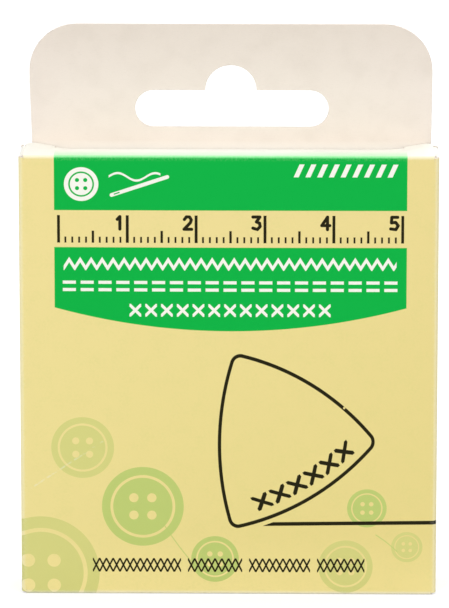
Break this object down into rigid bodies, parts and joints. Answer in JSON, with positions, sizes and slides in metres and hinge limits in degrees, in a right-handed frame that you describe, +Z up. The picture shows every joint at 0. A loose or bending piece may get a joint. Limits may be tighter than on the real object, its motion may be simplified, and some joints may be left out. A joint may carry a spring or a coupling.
{
  "type": "boxed tailor's chalk",
  "caption": "Flat triangular tailor's chalk in a printed folding carton with a tuck lid at each end, lock corners, dust flaps and a hang tab with a round-ended display slot.",
  "frame": {"origin": "centre of the carton's footprint, on the surface that it stands on", "axes": "+Z up towards the hang tab, the printed front faces -Y, +X is to the right of someone who looks at the front"},
  "size_m": [0.061, 0.01, 0.0838],
  "materials": {
    "printed_board": "satin",
    "raw_board": "matte",
    "chalk": "matte"
  },
  "bodies": {
    "sleeve": {"front_panel": "printed_board", "back_panel": "printed_board", "left_side_panel": "printed_board", "right_side_panel": "printed_board", "glue_flap": "raw_board"},
    "top_lid": {"top_lid": "printed_board"},
    "top_tuck_flap": {"top_tuck_flap": "printed_board"},
    "top_dust_flap_left": {"top_dust_flap_left": "raw_board"},
    "top_dust_flap_right": {"top_dust_flap_right": "raw_board"},
    "bottom_lid": {"bottom_lid": "printed_board"},
    "bottom_tuck_flap": {"bottom_tuck_flap": "printed_board"},
    "bottom_dust_flap_left": {"bottom_dust_flap_left": "raw_board"},
    "bottom_dust_flap_right": {"bottom_dust_flap_right": "raw_board"},
    "chalk": {"chalk": "chalk"}
  },
  "joints": [
    {"name": "top_lid_crease", "type": "hinge", "parent": "sleeve", "child": "top_lid", "pos_m": [0, -0.0048, 0.0658], "axis": [1, 0, 0], "range_deg": [0, 150]},
    {"name": "top_tuck_crease", "type": "hinge", "parent": "top_lid", "child": "top_tuck_flap", "pos_m": [0, 0.0038, 0.0658], "axis": [1, 0, 0], "range_deg": [0, 22.5]},
    {"name": "top_dust_crease_left", "type": "hinge", "parent": "sleeve", "child": "top_dust_flap_left", "pos_m": [-0.0303, 0, 0.06532], "axis": [0, -1, 0], "range_deg": [0, 75]},
    {"name": "top_dust_crease_right", "type": "hinge", "parent": "sleeve", "child": "top_dust_flap_right", "pos_m": [0.0303, 0, 0.06532], "axis": [0, 1, 0], "range_deg": [0, 75]},
    {"name": "bottom_lid_crease", "type": "hinge", "parent": "sleeve", "child": "bottom_lid", "pos_m": [0, -0.0048, 0.0002], "axis": [-1, 0, 0], "range_deg": [0, 150]},
    {"name": "bottom_tuck_crease", "type": "hinge", "parent": "bottom_lid", "child": "bottom_tuck_flap", "pos_m": [0, 0.0038, 0.0002], "axis": [-1, 0, 0], "range_deg": [0, 22.5]},
    {"name": "bottom_dust_crease_left", "type": "hinge", "parent": "sleeve", "child": "bottom_dust_flap_left", "pos_m": [-0.0303, 0, 0.00068], "axis": [0, 1, 0], "range_deg": [0, 75]},
    {"name": "bottom_dust_crease_right", "type": "hinge", "parent": "sleeve", "child": "bottom_dust_flap_right", "pos_m": [0.0303, 0, 0.00068], "axis": [0, -1, 0], "range_deg": [0, 75]},
    {"name": "chalk_slide", "type": "slide", "parent": "sleeve", "child": "chalk", "axis": [0, 0, 1], "range_m": [0, 0.011]}
  ],
  "couplings": [
    {"joint": "top_tuck_crease", "follows": "top_lid_crease", "ratio": 0.15},
    {"joint": "top_dust_crease_left", "follows": "top_lid_crease", "ratio": 0.5},
    {"joint": "top_dust_crease_right", "follows": "top_lid_crease", "ratio": 0.5},
    {"joint": "bottom_tuck_crease", "follows": "bottom_lid_crease", "ratio": 0.15},
    {"joint": "bottom_dust_crease_left", "follows": "bottom_lid_crease", "ratio": 0.5},
    {"joint": "bottom_dust_crease_right", "follows": "bottom_lid_crease", "ratio": 0.5}
  ]
}
